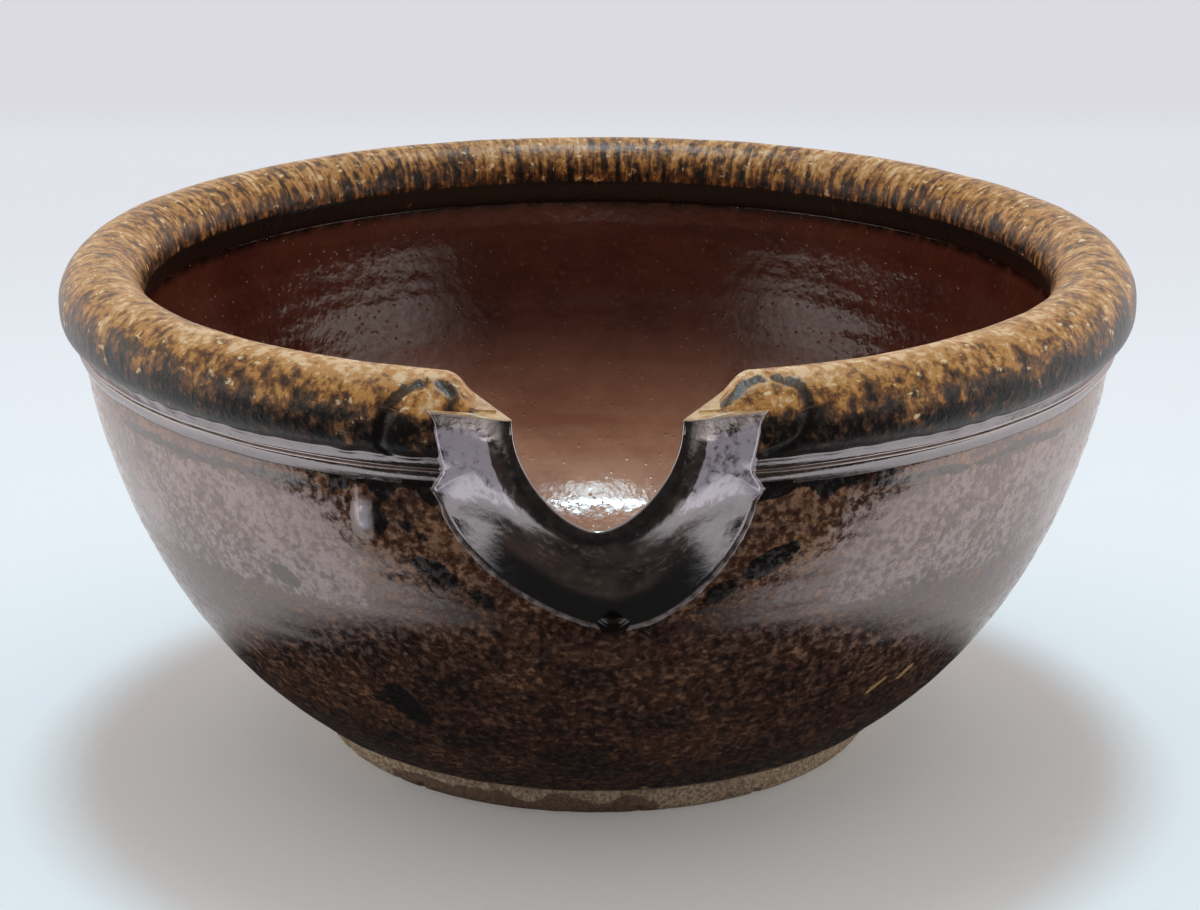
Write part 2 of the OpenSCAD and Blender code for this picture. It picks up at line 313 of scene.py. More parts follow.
def spout_skin(side, angle, s):
    """The spout's outside: sections that narrow and rise from the root to the lip and lean back.

    Towards the root the keel drifts to the right, as the real one does, and the flanks flare
    above the fold, a little less again at their top.
    """
    glazed = COAT * ease(1.0, 0.75, s)
    half_w = mix(ROOT_HALF_W, LIP_HALF_W - LIP_SLIM, s) + glazed
    low_z = mix(ROOT_LOW_Z, LIP_LOW_Z, s) - glazed
    roundness = mix(ROOT_ROUNDNESS, 2.0, np.clip(s, 0.0, 1.0))
    x, z = trough(side, angle, half_w, mix(ROOT_ROUND_Z, LIP_ROUND_Z, s), low_z, roundness,
                  ROOT_FLARE * np.maximum(0.0, 1.0 - s))
    q = mix(ROOT_Q, LIP_Q, s) - LIP_LEAN * np.maximum(0.0, s) * (z - low_z)
    rootward = np.clip(1.0 - s, 0.0, 1.3)
    high = np.clip((z - FLARE_FROM) / (ROLL_AT[1] - FLARE_FROM), 0.0, 1.0) ** 1.2
    high = high * (1.0 - 0.2 * ease(ROLL_AT[1] - 1.5, SPOUT_Z, z))
    x = x + KEEL_SKEW * rootward * np.sin(angle) ** 3
    return x + FLANK_FLARE * rootward * high * np.cos(angle), q, z


def channel_share(q):
    """Share of the channel's length at a reach."""
    return (q - CHANNEL_Q) / (LIP_Q - CHANNEL_Q)


def channel_skin(side, angle, q):
    """The channel's glazed inside at a reach: sections that narrow and rise towards the lip."""
    s = channel_share(q)
    half_w = mix(CHANNEL_HALF_W, CHANNEL_HALF_LIP, s) - COAT
    round_z = mix(CHANNEL_LOW_Z + CHANNEL_HALF_W, LIP_ROUND_Z, s)
    low_z = mix(CHANNEL_LOW_Z + COAT, CHANNEL_LIP_Z - CHANNEL_DIP, s)
    roundness = mix(2.0, CHANNEL_ROUNDNESS, ease(0.4, 1.0, s))
    return trough(side, angle, half_w, round_z, low_z, roundness)


def channel_notch(angle, r, reach, margin, elsewhere):
    """Height of the channel's outline at each angle round the axis, on a wall of radius r.

    The outline is the channel's at a reach, widened by a margin. Beside it the height is elsewhere.
    """
    side, turn = u_outline(30, 120)
    x, z = channel_skin(side, turn, reach)
    x, z = x + margin * np.cos(turn), z - margin * np.sin(turn)
    across = r * np.sin(angle)
    order = np.argsort(x)
    notch = (np.cos(angle) > 0.0) & (np.abs(across) < np.max(x))
    return np.where(notch, np.interp(across, x[order], z[order]), elsewhere)


def cover_reach(x, z):
    """Reach of an even skin over the wall, the fold, the cove and the roll, which the spout joins.

    From just below the fold up to the roll it is the largest radius within a span above and
    below, smoothed by a bell. Elsewhere it is the glazed surface itself.
    """
    step, span, bell_w, bell_end = 0.1, 14, 11.0, 30
    height = np.linspace(RIM_TOP - 34.0, RIM_TOP - 1.0, round(33.0 / step) + 1)
    radius = front_radius(height)
    near = np.lib.stride_tricks.sliding_window_view(np.pad(radius, span, mode="edge"), 2 * span + 1)
    weight = bell(np.arange(-bell_end, bell_end + 1), bell_w)
    wide = np.pad(near.max(axis=1), bell_end, mode="edge")
    even = np.convolve(wide, weight / weight.sum(), mode="valid")
    share = ease(FOLD_Z - 3.0, FOLD_Z - 0.6, height)
    share = share * ease(ROLL_AT[1] + 0.5, ROLL_AT[1] - 1.5, height)
    return np.sqrt(np.maximum(np.interp(z, height, mix(radius, even, share)) ** 2 - x * x, 0.0))


def seam_share(side, angle):
    """The share s at which the spout's outside meets the wall and the rim, for each station."""
    s = np.linspace(0.97, -0.35, 700)[None, :]
    x, q, z = spout_skin(side[:, None], angle[:, None], s)
    return s[0, np.argmax(q < cover_reach(x, z), axis=1)]


def spout_sheet(n_side, n_arc, n_skin):
    """The spout's glazed outside as a grid: stations round its U, steps from the seam to the lip.

    It is the larger of the spout's own reach and the even skin's, with the corner between them
    filled, most on the flanks, and it dips below the pot's surface where it starts.
    """
    fill, flank_fill, lead, flank_lead, dip = 1.3, 2.4, 0.17, 0.09, 1.4
    side, angle = u_outline(n_side, n_arc)
    seam = seam_share(side, angle)[:, None]
    flank = np.abs(np.cos(angle))[:, None]
    u = shares(n_skin)[None, :]
    s = mix(seam - lead - flank_lead * flank, 1.0 - LIP_BEND / (LIP_Q - ROOT_Q), u ** 0.9)
    x, q, z = spout_skin(side[:, None], angle[:, None], s)
    q = smoothed(soft_max(q, cover_reach(x, z), fill + flank_fill * flank), 6)
    return side, angle, s - seam, x, q - dip * ease(0.13, 0.0, u), z


# Meshes


def grid_quads(rows, columns, wrap_rows=False):
    """Quads of a grid of points whose rows close round, and whose columns close where asked."""
    i = np.arange(rows if wrap_rows else rows - 1)[:, None]
    j = np.arange(columns)[None, :]
    i, i2, j2 = i * columns, (i + 1) % rows * columns, (j + 1) % columns
    return np.stack(np.broadcast_arrays(i + j, i + j2, i2 + j2, i2 + j), axis=-1).reshape(-1, 4)


def fan(ring, tip, flip=False):
    """Triangles from the points of a closed ring to one tip."""
    following = np.roll(ring, -1)
    pair = (following, ring) if flip else (ring, following)
    return np.stack([pair[0], pair[1], np.full(len(ring), tip)], axis=-1)


def capped(grid, tips):
    """Points, quads and triangles of a stack of closed rings that ends in a tip at both ends."""
    rows, columns = grid.shape[:2]
    count, ring = rows * columns, np.arange(columns)
    tris = np.concatenate([fan(ring, count, True), fan(ring + count - columns, count + 1)])
    return np.concatenate([grid.reshape(-1, 3), tips]), grid_quads(rows, columns), tris


def first_rows(values, shape, tips=()):
    """A mark for the points of a grid: values on its first rows, 0 on the rest, then its tips'."""
    whole = np.zeros(shape)
    whole[:len(values)] = values
    return np.concatenate([whole.ravel(), tips])


def outwards(points, quads, tris):
    """The faces of a closed mesh, turned round if the volume that they enclose is negative."""
    corner = np.concatenate([tris, quads[:, [0, 1, 2]], quads[:, [0, 2, 3]]])
    a, b, c = points[corner[:, 0]], points[corner[:, 1]], points[corner[:, 2]]
    if np.sum(a * np.cross(b, c)) < 0.0:
        return quads[:, ::-1], tris[:, ::-1]
    return quads, tris


def make_piece(name, shape, finish, nodes, marks, others=()):
    """Puts points in mm, quads and triangles into a smooth mesh that rides on the pot.

    It stands for nodes. marks are numbers or vectors for each point that the finish reads by
    name. others are further finishes, each with the quads that wear it.
    """
    points, quads, tris = shape
    points = points.reshape(-1, 3)
    quads, tris = outwards(points, quads, np.asarray(tris, dtype=int).reshape(-1, 3))
    loops = np.concatenate([quads.ravel(), tris.ravel()]).astype(np.int32)
    starts = np.concatenate([np.arange(len(quads)) * 4, len(quads) * 4 + np.arange(len(tris)) * 3])
    mesh = bpy.data.meshes.new(name)
    mesh.vertices.add(len(points))
    mesh.vertices.foreach_set("co", (points * MM).astype(np.float32).ravel())
    mesh.loops.add(len(loops))
    mesh.loops.foreach_set("vertex_index", loops)
    mesh.polygons.add(len(starts))
    mesh.polygons.foreach_set("loop_start", starts.astype(np.int32))
    mesh.update(calc_edges=True)
    mesh.validate()
    mesh.shade_smooth()
    for mark, values in marks.items():
        values = np.asarray(values, dtype=np.float32)
        kind, field = ("FLOAT_VECTOR", "vector") if values.ndim == 2 else ("FLOAT", "value")
        mesh.attributes.new(mark, kind, "POINT").data.foreach_set(field, values.ravel())
    mesh.materials.append(finish)
    wears = np.zeros(len(starts), dtype=np.int32)
    for number, (other, part) in enumerate(others, 1):
        mesh.materials.append(other)
        wears[:len(quads)][part] = number
    mesh.polygons.foreach_set("material_index", wears)
    piece = bpy.data.objects.new(name, mesh)
    bpy.context.scene.collection.objects.link(piece)
    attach(piece, "root")
    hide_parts(*nodes)


# Finishes


def tint(r, g, b):
    """A colour as it looks, 0 to 255, turned into the light values that a shader takes."""
    c = np.array([r, g, b]) / 255.0
    c = np.where(c <= 0.04045, c / 12.92, ((c + 0.055) / 1.055) ** 2.4)
    return (float(c[0]), float(c[1]), float(c[2]), 1.0)


class Nodes:
    """A node tree, written as nested calls: each call adds a node or two and gives the output."""

    def __init__(self, tree, where):
        self.tree = tree
        self.where = self.node("TexCoord").outputs[where]

    def node(self, kind, inputs=(), **settings):
        """Adds a node, sets it, and feeds its inputs with outputs or plain values."""
        made = self.tree.nodes.new("ShaderNode" + kind)
        for key, value in settings.items():
            setattr(made, key, value)
        for key, value in dict(inputs).items():
            if isinstance(value, bpy.types.NodeSocket):
                self.tree.links.new(value, made.inputs[key])
            else:
                made.inputs[key].default_value = value
        return made

    def along(self, axis):
        """Place along one axis."""
        return self.node("SeparateXYZ", {"Vector": self.where}).outputs[axis]

    def span(self, x, low, high, to_low=0.0, to_high=1.0):
        """x, smoothly turned from low..high into to_low..to_high, and held outside that."""
        inputs = {"Value": x, "From Min": low, "From Max": high, "To Min": to_low,
                  "To Max": to_high}
        return self.node("MapRange", inputs, interpolation_type="SMOOTHSTEP").outputs["Result"]

    def math(self, operation, *values):
        """A sum, a product or the like."""
        return self.node("Math", enumerate(values), operation=operation).outputs[0]

    def sum(self, first, *more):
        """All values added up."""
        for value in more:
            first = self.math("ADD", first, value)
        return first

    def times(self, a, b):
        """a times b"""
        return self.math("MULTIPLY", a, b)

    def blend(self, share, a, b):
        """Colour a where share is 0 and b where it is 1."""
        return self.node("Mix", {0: share, 6: a, 7: b}, data_type="RGBA").outputs[2]


class Finish(Nodes):
    """A finish: a material's nodes, on coordinates in metres or along the glaze's run."""

    def __init__(self, name, gloss, ior=1.5, shine=(1.0, 1.0, 1.0, 1.0)):
        self.material = bpy.data.materials.new(name)
        self.material.use_nodes = True
        super().__init__(self.material.node_tree, "Object")
        self.shader = self.tree.nodes["Principled BSDF"]
        self.shader.inputs["Roughness"].default_value = gloss
        self.shader.inputs["IOR"].default_value = ior
        self.shader.inputs["Specular Tint"].default_value = shine

    def mark(self, name, output="Fac"):
        """A number, or with output Vector a place, that the mesh carries for each point."""
        return self.node("Attribute", attribute_name=name).outputs[output]

    def stretch(self, where, scale):
        """Where, scaled along each axis."""
        return self.node("Mapping", {"Vector": where, "Scale": scale}).outputs["Vector"]

    def cloudy(self, where, scale, detail, rough, warp):
        """Soft cloudy noise, 0 to 1."""
        inputs = {"Vector": where, "Scale": scale, "Detail": detail, "Roughness": rough,
                  "Distortion": warp}
        return self.node("TexNoise", inputs).outputs["Fac"]

    def noise(self, size, detail, rough, warp=0.0):
        """Cloudy noise with features of about size mm."""
        return self.cloudy(self.where, 1.0 / (size * MM), detail, rough, warp)

    def drawn(self, where, scale, detail, rough, warp=0.0):
        """Cloudy noise with its own scale along each axis."""
        return self.cloudy(self.stretch(where, scale), 1.0, detail, rough, warp)

    def cells(self, size):
        """Distance from the nearest of many points that are scattered about size mm apart."""
        inputs = {"Vector": self.where, "Scale": 1.0 / (size * MM)}
        return self.node("TexVoronoi", inputs).outputs["Distance"]

    def swing(self, noise, size):
        """Noise, moved to swing about 0, times size."""
        return self.times(self.sum(noise, -0.5), size)

    def colour(self, value):
        self.tree.links.new(value, self.shader.inputs["Base Color"])

    def gloss(self, value):
        self.tree.links.new(value, self.shader.inputs["Roughness"])

    def relief(self, height, depth):
        """Small relief: height times depth in mm tilts the surface, on top of earlier calls."""
        inputs = {"Height": height, "Distance": depth * MM, "Strength": 1.0}
        last = self.shader.inputs["Normal"]
        if last.is_linked:
            inputs["Normal"] = last.links[0].from_socket
        self.tree.links.new(self.node("Bump", inputs).outputs["Normal"], last)


GLAZE_IOR, SPOUT_IOR, RIM_IOR, LINER_IOR = 2.6, 4.0, 1.42, 1.6
GLAZE_SHINE, SPOUT_SHINE = (1.0, 0.88, 0.85, 1.0), (1.0, 0.93, 0.95, 1.0)


def wall_finish():
    """Iron glaze on the wall: brown mottled grain by grain, with black pools and thrown lines;
    darker low down as painted shade, with a painted milky reflection at both sides, a painted
    highlight on the hanging drop, and pools under the fold's front that are partly painted shade.
    """
    f = Finish("mottled_iron_glaze", 0.15, GLAZE_IOR, GLAZE_SHINE)
    cloud = f.noise(8.0, 5.0, 0.6, 0.4)
    mottle = f.noise(0.95, 4.0, 0.62)
    fine = f.noise(0.6, 2.0, 0.5)
    thrown = f.drawn(f.where, (60.0, 60.0, 900.0), 3.0, 0.6)
    ragged = f.noise(2.6, 4.0, 0.65, 0.6)
    # The level falls low on the wall and rises high up: darker towards the bottom as painted shade.
    level = f.sum(f.swing(mottle, 2.5), f.swing(cloud, 1.3), f.swing(thrown, -0.5),
                  f.swing(fine, 1.1), f.span(f.along("Z"), 0.028, 0.043, -0.08, 0.3))
    c = f.blend(f.span(level, -0.5, 0.15), tint(22, 13, 11), tint(74, 44, 29))
    c = f.blend(f.span(level, 0.05, 0.75), c, tint(150, 103, 66))
    grain = f.times(f.span(f.cells(1.3), 0.36, 0.14, 0.0, 0.5), f.span(fine, 0.46, 0.62))
    c = f.blend(grain, c, tint(132, 106, 84))
    # A painted milky reflection, lilac-grey, at both sides of the wall where the lit table would
    # reflect.
    reflection_level = f.sum(f.mark("painted_reflection"), f.swing(mottle, 1.5), f.swing(cloud, 0.9))
    c = f.blend(f.span(reflection_level, 0.85, 1.2, 0.0, 0.75), c, tint(156, 140, 142))
    # Black pools of glaze; under the fold's front they are partly painted shade of the undercut.
    dark = f.span(f.sum(f.mark("pool_and_shade"), f.swing(ragged, 1.7)), 0.38, 0.6)
    c = f.blend(dark, c, tint(15, 10, 9))
    pale = f.span(f.sum(f.mark("fleck"), f.swing(mottle, 1.0)), 0.4, 0.7)
    c = f.blend(pale, c, tint(190, 148, 100))
    # A painted highlight, lilac-white, on the hanging drop of glaze.
    f.colour(f.blend(f.mark("drop_highlight"), c, tint(196, 186, 192)))
    f.gloss(f.span(mottle, 0.44, 0.58, 0.08, 0.3))
    f.relief(f.noise(3.2, 2.0, 0.5), 0.06)
    f.relief(mottle, 0.035)
    return f.material


def rim_finish():
    """Iron glaze that breaks to amber and cream over the roll and gathers dark down its sides; the
    cream along the front crest and the cream flecks are partly painted sheen and glints.

    Blotches sit all over it. Towards the back they give way to fine streaks along the glaze's run.
    """
    f = Finish("amber_breaking_glaze", 0.5, RIM_IOR)
    run = f.mark("run", "Vector")
    streak = f.drawn(run, (0.9, 0.9, 0.14), 5.0, 0.65, 0.3)
    blotch = f.drawn(run, (0.30, 0.30, 0.34), 6.0, 0.66, 0.4)
    mottle = f.drawn(run, (0.95, 0.95, 0.75), 4.0, 0.62, 0.25)
    speck = f.noise(0.8, 3.0, 0.6)
    chip = f.drawn(run, (0.62, 0.62, 0.95), 2.0, 0.45, 0.2)
    drawn = f.mark("drawn")
    level = f.sum(f.mark("thin"), f.times(f.swing(streak, 1.9), drawn),
                  f.times(f.swing(blotch, 1.6), f.span(drawn, 0.0, 1.0, 1.0, 0.45)),
                  f.swing(mottle, 1.35), f.swing(speck, 0.5))
    c = f.blend(f.span(level, 0.02, 0.24), tint(20, 14, 11), tint(70, 46, 28))
    c = f.blend(f.span(level, 0.22, 0.44), c, tint(128, 83, 42))
    c = f.blend(f.span(level, 0.42, 0.62), c, tint(192, 136, 70))
    c = f.blend(f.span(level, 0.66, 0.95), c, tint(228, 190, 146))
    # Cream flecks: partly cream in the glaze, partly painted glints.
    c = f.blend(f.times(f.span(chip, 0.64, 0.7), f.span(level, 0.2, 0.5)), c, tint(232, 206, 160))
    dark = f.span(f.sum(f.mark("pool_and_shade"), f.swing(mottle, 1.9)), 0.4, 0.8, 0.0, 0.9)
    f.colour(f.blend(dark, c, tint(22, 17, 15)))
    f.gloss(f.span(level, 0.1, 0.6, 0.34, 0.4))
    f.relief(blotch, 0.12)
    f.relief(mottle, 0.10)
    f.relief(speck, 0.05)
    return f.material


def liner_finish():
    """Red-brown liner glaze with an orange-peel skin and thrown rings, paler low down as painted
    light, and near black below the roll, partly gathered glaze and partly painted shade.
    """
    f = Finish("red_brown_liner", 0.14, LINER_IOR)
    rings = f.drawn(f.where, (25.0, 25.0, 520.0), 3.0, 0.6)
    cloud = f.span(f.noise(12.0, 5.0, 0.6, 0.4), 0.3, 0.7)
    fine = f.noise(0.7, 3.0, 0.6)
    c = f.blend(cloud, tint(76, 37, 29), tint(98, 54, 42))
    c = f.blend(f.span(rings, 0.48, 0.72, 0.0, 0.18), c, tint(116, 68, 52))
    # Paler low down: painted light on the lower inside.
    pale = f.blend(cloud, tint(180, 124, 97), tint(212, 157, 126))
    pale = f.blend(f.span(rings, 0.45, 0.7, 0.0, 0.3), pale, tint(214, 168, 140))
    c = f.blend(f.mark("low"), c, pale)
    c = f.blend(f.span(fine, 0.6, 0.74, 0.0, 0.35), c, tint(140, 92, 72))
    # Near black just below the roll: partly gathered glaze, partly painted shade.
    f.colour(f.blend(f.mark("pool_and_shade"), c, tint(12, 8, 8)))
    f.gloss(f.span(fine, 0.3, 0.7, 0.08, 0.24))
    f.relief(f.noise(1.9, 2.0, 0.5), 0.09)
    f.relief(fine, 0.015)
    f.relief(f.span(f.cells(1.5), 0.06, 0.2), 0.05)
    return f.material


def spout_finish():
    """Black-brown glaze on the spout's outside, with a painted milky reflection on the flanks and a
    dark thin lip.
    """
    f = Finish("black_brown_spout_glaze", 0.1, SPOUT_IOR, SPOUT_SHINE)
    cloud = f.noise(5.0, 4.0, 0.6, 0.5)
    speck = f.noise(0.9, 3.0, 0.6)
    c = f.blend(f.span(cloud, 0.35, 0.7), tint(34, 24, 20), tint(76, 57, 48))
    c = f.blend(f.span(speck, 0.54, 0.7, 0.0, 0.6), c, tint(118, 96, 82))
    # A painted milky reflection, lilac-white, on the spout's flanks.
    painted_reflection = f.span(f.sum(f.mark("painted_reflection"), f.swing(cloud, 1.3), f.swing(speck, 1.2)), 0.6, 1.05)
    c = f.blend(f.times(painted_reflection, 0.85), c, tint(208, 194, 206))
    dark = f.span(f.sum(f.mark("pool_and_shade"), f.swing(speck, 0.5)), 0.3, 0.75)
    c = f.blend(dark, c, tint(11, 8, 8))
    lip = f.blend(f.span(speck, 0.45, 0.65), tint(12, 10, 9), tint(40, 31, 25))
    f.colour(f.blend(f.mark("lip"), c, lip))
    f.gloss(f.span(speck, 0.3, 0.7, 0.07, 0.22))
    f.relief(speck, 0.025)
    f.relief(cloud, 0.06)
    return f.material


def foot_finish():
    """Bare sandy stoneware with pale grit and ragged iron stains."""
    f = Finish("bare_sandy_stoneware", 0.85)
    grit = f.noise(0.45, 3.0, 0.7)
    cloud = f.noise(5.0, 5.0, 0.66, 0.6)
    c = f.blend(f.span(grit, 0.35, 0.65), tint(140, 116, 94), tint(214, 194, 166))
    c = f.blend(f.span(f.cells(0.8), 0.1, 0.28, 0.6, 0.0), c, tint(236, 222, 198))
    c = f.blend(f.span(cloud, 0.5, 0.7, 0.0, 0.4), c, tint(128, 102, 80))
    stain = f.span(f.sum(f.mark("stain"), f.swing(cloud, 1.8)), 0.42, 0.52)
    f.colour(f.blend(f.times(stain, 0.75), c, tint(96, 72, 58)))
    f.relief(grit, 0.12)
    return f.material


def ear_finish():
    """Amber glaze, thin over the pressed ends of the roll beside the spout, and dark below."""
    f = Finish("thin_amber_glaze", 0.3, RIM_IOR)
    cloud = f.noise(2.2, 4.0, 0.6, 0.6)
    c = f.blend(f.span(cloud, 0.35, 0.65), tint(168, 122, 72), tint(220, 184, 132))
    f.colour(f.blend(f.span(f.along("Z"), 0.050, 0.054), tint(20, 15, 13), c))
    f.relief(cloud, 0.06)
    return f.material


def plain_finish(name, size, rough, low, high, dark, pale, depth, *shine):
    """One soft noise between two colours, with a little relief: shine gives gloss, IOR and tint."""
    f = Finish(name, *shine)
    cloud = f.noise(size, 3.0, rough)
    f.colour(f.blend(f.span(cloud, low, high), dark, pale))
    f.relief(cloud, depth)
    return f.material


# Pieces

# Marks on the wall: angle in degrees and height in mm, half axes in mm, tilt in degrees, depth
DARK_POOLS = (((-24.6, 18.9), (4.2, 2.5), -58.0, 0.95), ((-27.6, 19.4), (2.6, 2.0), 0.0, 0.5),
              ((-35.5, 34.4), (2.6, 1.5), -20.0, 0.9), ((17.6, 39.4), (4.2, 1.7), 30.0, 0.8),
              ((12.6, 36.2), (3.0, 1.3), 35.0, 0.7), ((-16.6, 38.2), (3.6, 1.5), -25.0, 0.8),
              ((-11.8, 35.2), (2.6, 1.1), -35.0, 0.6), ((-22.0, 44.2), (1.0, 2.4), 0.0, 0.8),
              ((-18.6, 43.0), (2.6, 0.9), -30.0, 0.7))
PALE_FLECKS = (((38.4, 18.4), (1.9, 0.6), 40.0, 1.0), ((43.2, 19.3), (1.9, 0.55), 45.0, 1.0),
               ((8.0, 5.2), (0.8, 0.5), 0.0, 1.0))
# A painted highlight on the hanging drop: angle and height, half axes, tilt, strength.
DROP_HIGHLIGHT_SPOTS = (((-23.5, 44.3), (1.0, 2.0), 0.0, 1.0),)
# The hanging drop of glaze and its neck: angle, then height, half width, half height, thickness
DROP_ANGLE, DROP = radians(-23.5), ((44.0, 0.75, 1.5, 1.2), (46.6, 0.6, 1.6, 0.3))


def make_wall(finish):
    """The wall's coat: the wall's curve turned round the axis, with soft thrown ripples.

    Its lower edge wavers and is thickened where the glaze stopped, and a drop of glaze stands out
    below the fold. Its upper edge dips under the spout. A second skin outside the clay closes it.
    """
    columns, rows, back_rows = 640, 96, 12
    waver, ring_depth, swell_depth, bead_depth, top_lift, skin = 0.22, 0.03, 0.06, 0.22, 0.35, 0.06
    angle = np.linspace(-pi, pi, columns, endpoint=False)[None, :]
    share = shares(rows)[:, None]
    at = shares(400)
    height = wall_line(at, COAT)[:, 1]
    edge_z = WALL_EDGE + waver * unevenness(3, angle, (5, 40))
    top_z = np.minimum(channel_notch(angle, WALL_R + COAT, WALL_R + COAT, 2.0, FOLD_Z), FOLD_Z)
    edge_t, top_t = np.interp(edge_z, height, at), np.interp(top_z, height, at)
    t = mix(edge_t, top_t, share)
    z = wall_line(t, COAT)[..., 1]
    below = FOLD_Z - z
    ripple = ring_depth * unevenness(11, 0.0, (0, 0), z, 3.4)
    ripple = ripple + swell_depth * unevenness(12, angle, (1, 7), z, 25.0)
    grow = ripple * ease(0.0, 1.2, below) + bead_depth * bell(z - edge_z - 0.6, 0.8)
    for up, wide, tall, thick in DROP:
        grow = grow + thick * bell((angle - DROP_ANGLE) * WALL_R, wide) * bell(z - up, tall)
    outer = wall_line(t, COAT + grow)
    inner = wall_line(mix(edge_t + 0.004, top_t, shares(back_rows)[:, None]), skin)
    face = around(angle, outer[..., 0], outer[..., 1] + top_lift * share ** 40)
    points = np.concatenate([face, around(angle, inner[..., 0], inner[..., 1])[::-1]], axis=0)

    off = np.abs(angle)
    # Dark glaze runs below the fold at the front, and a dark band further round: partly dark glaze,
    # partly painted shade of the fold's undercut.
    drip = 1.5 + 1.3 * unevenness(21, angle, (20, 90)) + 0.7 * unevenness(22, angle, (3, 9))
    pool_and_shade = ease(0.62, 0.42, off) * ease(1.3, 0.6, below / np.maximum(drip, 0.7))
    strip = bell(below - 1.8 + 0.4 * unevenness(23, angle, (8, 40)), 0.6)
    pool_and_shade = np.maximum(pool_and_shade, 0.85 * ease(0.4, 0.55, off) * ease(1.2, 0.95, off) * strip)
    pool_and_shade = np.maximum(pool_and_shade, 0.5 * bell(z - edge_z, 0.35))
    off = np.degrees(off)
    # Where the wall's painted milky reflection lies: at both sides, between two heights.
    painted_reflection = ease(18.0, 27.0, off) * ease(80.0, 62.0, off)
    painted_reflection = painted_reflection * ease(29.5, 33.0, z) * ease(47.4, 45.6, z)
    marks = {"painted_reflection": first_rows(painted_reflection, points.shape[:2])}
    for mark, value, spots in (("pool_and_shade", pool_and_shade, DARK_POOLS), ("fleck", 0.0 * z, PALE_FLECKS),
                               ("drop_highlight", 0.0 * z, DROP_HIGHLIGHT_SPOTS)):
        for place, size, turn, depth in spots:
            value = np.maximum(value, depth * spot(angle, z, place, size, turn))
        marks[mark] = first_rows(value, points.shape[:2])
    make_piece("wall_coat", (points, grid_quads(len(points), columns, True), ()), finish,
               ["outer_glaze"], marks)


def make_liner(finish):
    """The liner's coat: the inside curve turned round the axis, notched where the channel leaves.

    Each angle runs up the curve as far as its upper edge, which follows the channel's outline. A
    second skin just inside the clay closes it, and both end in a point on the axis.
    """
    columns, rows, back_rows, fine = 560, 120, 14, 600
    ring_depth, swell_depth, tuck, skin = 0.05, 0.12, 0.9, 0.1
    spread = np.linspace(-1.0, 1.0, columns, endpoint=False)
    angle = (pi * (0.55 * spread + 0.45 * spread ** 3))[None, :]
    face, back = inside_line(COAT, fine, GLAZE_JOIN), inside_line(-skin, fine)
    at = shares(fine)
    top = channel_notch(angle, LINER_R, MOUTH_Q, 0.0, LINER_Z + 0.6)
    whole = top > LINER_Z
    top_share = np.interp(np.minimum(top, LINER_Z), face[:, 1], at)

    def lay(line, count):
        share = shares(count)[1:, None] * top_share
        return np.interp(share, at, line[:, 0]), np.interp(share, at, line[:, 1])

    r, z = lay(face, rows)
    wave = ring_depth * unevenness(31, 0.0, (0, 0), z + 0.35 * r, 4.0)
    wave = wave + swell_depth * unevenness(32, angle, (1, 6), z, 30.0)
    r = r + wave * ease(0.0, 6.0, r) * ease(0.0, 3.0, LINER_Z - z)
    z = z + tuck * whole * ease(0.985, 1.0, shares(rows)[1:, None])
    points = np.concatenate([around(angle, r, z), around(angle, *lay(back, back_rows))[::-1]])
    tips = np.array([[0.0, 0.0, face[0, 1]], [0.0, 0.0, back[0, 1]]])
    # A dark band just below the roll on the inside: partly glaze gathered at its edge, partly
    # painted shade under the roll.
    drip = np.maximum(0.5 + 0.25 * unevenness(33, angle, (40, 160)), 0.2)
    pool_and_shade = ease(1.4, 0.4, (LINER_Z - z) / drip) * whole
    # The low mark carries painted light: paler towards the floor.
    marks = {"pool_and_shade": first_rows(pool_and_shade, points.shape[:2], [0.0, 0.0]),
             "low": first_rows(ease(37.0, 18.0, z), points.shape[:2], [1.0, 1.0])}
    make_piece("liner_coat", capped(points, tips), finish, ["liner_glaze"],
               marks)


def cut_angle(r, z):
    """Angle at which the rim's cut end lies, for a radius and a height.

    Above the spout the cut slopes outwards as it rises. Below, it stays behind the channel's side.
    """
    first_guess, clearance, sunk = 0.22, 0.2, 0.35
    angle = np.full(np.broadcast(r, z).shape, first_guess)
    flare = CUT_FLARE * np.maximum(z - SPOUT_Z, 0.0)
    for _ in range(8):
        half_w = mix(CHANNEL_HALF_W, CHANNEL_HALF_LIP, channel_share(r * np.cos(angle)))
        above = np.maximum(CUT_HALF_W, half_w + clearance) + flare - sunk
        x = mix(half_w, above, ease(-0.6, 0.2, z - SPOUT_Z))
        angle = np.arcsin(np.clip(x / r, 0.0, 0.9))
    return angle


# The crease round each ear: angles round the axis and round the roll, in degrees
CREASE_RIGHT = np.array([[11.5, 40.5], [12.9, 51.3], [14.0, 64.1], [15.7, 69.0], [17.2, 70.6],
                         [18.6, 62.6], [19.2, 56.7], [19.7, 43.3], [19.7, 24.1], [19.3, 4.2],
                         [18.8, -11.4], [17.4, -21.9], [16.0, -30.0]])
CREASE_LEFT = np.array([[-13.8, 50.4], [-15.1, 62.7], [-16.6, 62.3], [-17.9, 54.2], [-18.8, 40.7],
                        [-19.5, 27.4], [-19.9, 3.3], [-20.4, -23.7], [-20.0, -40.0]])


def crease_distance(angle, phi):
    """Distance over the roll from the nearer of the two creases, in mm, at most 9."""
    d = np.full(np.broadcast(angle, phi).shape, 9.0)
    for turn, rise in np.concatenate([even_steps(CREASE_RIGHT, 60), even_steps(CREASE_LEFT, 50)]):
        across, along = (angle - radians(turn)) * RIM_R, (phi - radians(rise)) * ROLL_R
        d = np.minimum(d, np.hypot(across, along))
    return d


